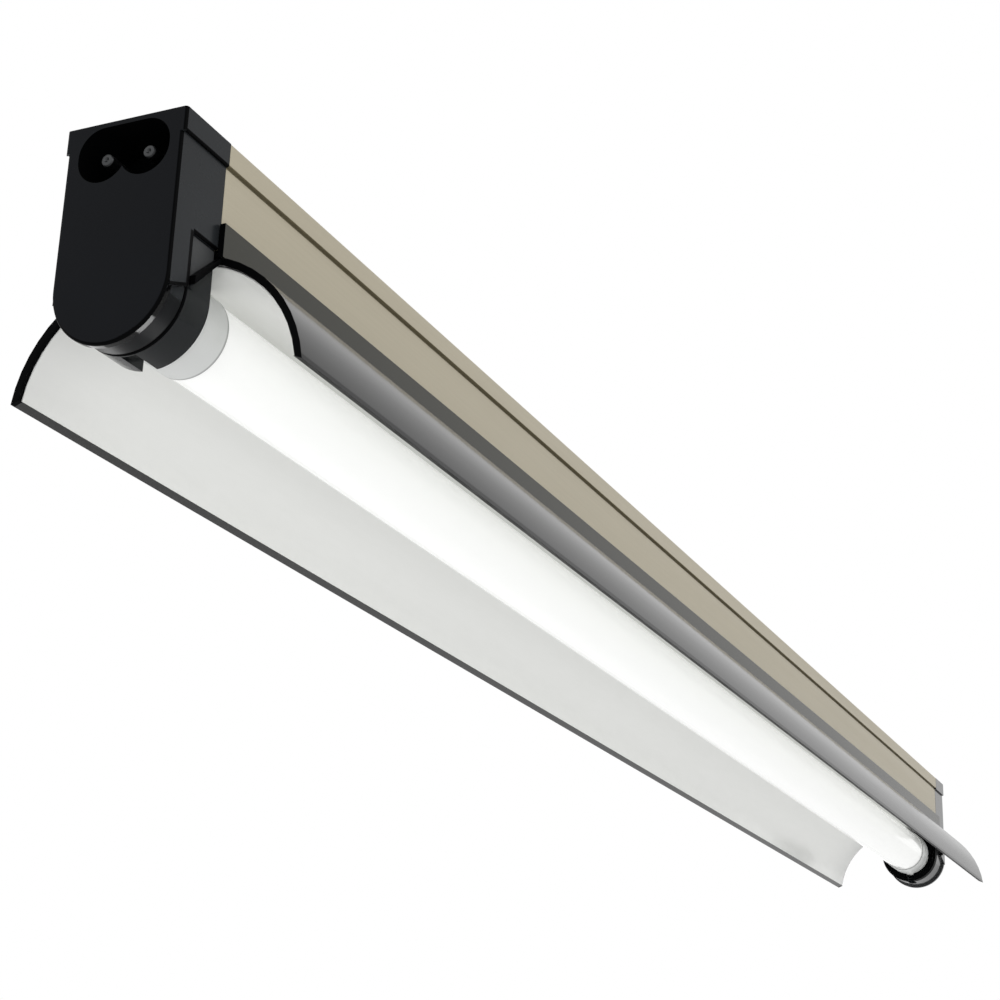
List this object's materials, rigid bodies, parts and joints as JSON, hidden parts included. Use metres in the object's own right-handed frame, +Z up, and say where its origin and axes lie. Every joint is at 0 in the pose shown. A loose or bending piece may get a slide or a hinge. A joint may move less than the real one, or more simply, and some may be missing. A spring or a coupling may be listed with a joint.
{
  "type": "fluorescent grow light",
  "caption": "Slim fluorescent grow light: a batten housing with end caps and turning lampholders, a thin tube lamp and a clip-on curved reflector.",
  "frame": {"origin": "centre of the flat top face, where the light is fastened", "axes": "+X along the light from the mains inlet to the link outlet, +Z up out of the top face, so the light shines along -Z; the rotors' slots face -Y while the lamp is locked"},
  "size_m": [0.578, 0.059, 0.0434],
  "materials": {
    "housing": "satin paint",
    "cover": "satin paint",
    "liner": "matt",
    "screw": "zinc plated",
    "cap": "glossy moulding",
    "inlet_pin": "nickel plated",
    "sleeve": "bare",
    "holder": "glossy moulding",
    "contact": "bare",
    "rotor": "satin moulding",
    "lamp": "white phosphor inside clear glass",
    "lamp_base": "satin",
    "base_disc": "matt",
    "lamp_pin": "bare",
    "stem": "clear",
    "filament": "oxide coated",
    "reflector": "glossy extrusion",
    "film": "glossy white film",
    "board": "bare laminate",
    "terminal": "moulded",
    "fuse": "glass with metal caps",
    "ferrite": "sintered",
    "winding": "enamelled copper",
    "diode": "moulded",
    "capacitor_can": "sleeved can",
    "heat_sink": "mill finish",
    "transistor": "moulded",
    "film_capacitor": "dipped",
    "mains_wire": "insulated",
    "link_wire": "insulated",
    "near_wire": "insulated",
    "far_wire": "insulated"
  },
  "bodies": {
    "housing": {"housing_channel": "housing", "bottom_cover": "cover", "insulating_sheet": "liner", "end_cap_screws": "screw", "inlet_end_cap": "cap", "link_end_cap": "cap", "inlet_pins": "inlet_pin", "link_sleeves": "sleeve", "near_lampholder": "holder", "far_lampholder": "holder", "near_contacts": "contact", "far_contacts": "contact", "reflector_shell": "reflector", "reflector_film": "film", "ballast_board": "board", "input_terminal": "terminal", "output_terminal": "terminal", "input_fuse": "fuse", "choke_core": "ferrite", "inductor_core": "ferrite", "choke_winding": "winding", "inductor_winding": "winding", "ring_transformer": "winding", "rectifier_diodes": "diode", "bulk_capacitor": "capacitor_can", "heat_sink": "heat_sink", "power_transistors": "transistor", "film_capacitors": "film_capacitor", "mains_wires": "mains_wire", "link_wires": "link_wire", "near_lamp_wires": "near_wire", "far_lamp_wires": "far_wire"},
    "lamp": {"lamp_tube": "lamp", "near_lamp_base": "lamp_base", "far_lamp_base": "lamp_base", "near_base_disc": "base_disc", "far_base_disc": "base_disc", "near_lamp_pins": "lamp_pin", "far_lamp_pins": "lamp_pin", "near_lamp_stem": "stem", "far_lamp_stem": "stem", "near_filament": "filament", "far_filament": "filament"},
    "near_rotor": {"near_rotor": "rotor"},
    "far_rotor": {"far_rotor": "rotor"}
  },
  "joints": [
    {"name": "lamp_turn", "type": "hinge", "parent": "housing", "child": "lamp", "pos_m": [0, 0, -0.0307], "axis": [1, 0, 0], "range_deg": [0, 90]},
    {"name": "near_rotor_turn", "type": "hinge", "parent": "housing", "child": "near_rotor", "pos_m": [-0.27695, 0, -0.0307], "axis": [1, 0, 0], "range_deg": [0, 90]},
    {"name": "far_rotor_turn", "type": "hinge", "parent": "housing", "child": "far_rotor", "pos_m": [0.27695, 0, -0.0307], "axis": [1, 0, 0], "range_deg": [0, 90]}
  ],
  "couplings": [
    {"joint": "near_rotor_turn", "follows": "lamp_turn", "ratio": 1},
    {"joint": "far_rotor_turn", "follows": "lamp_turn", "ratio": 1}
  ]
}
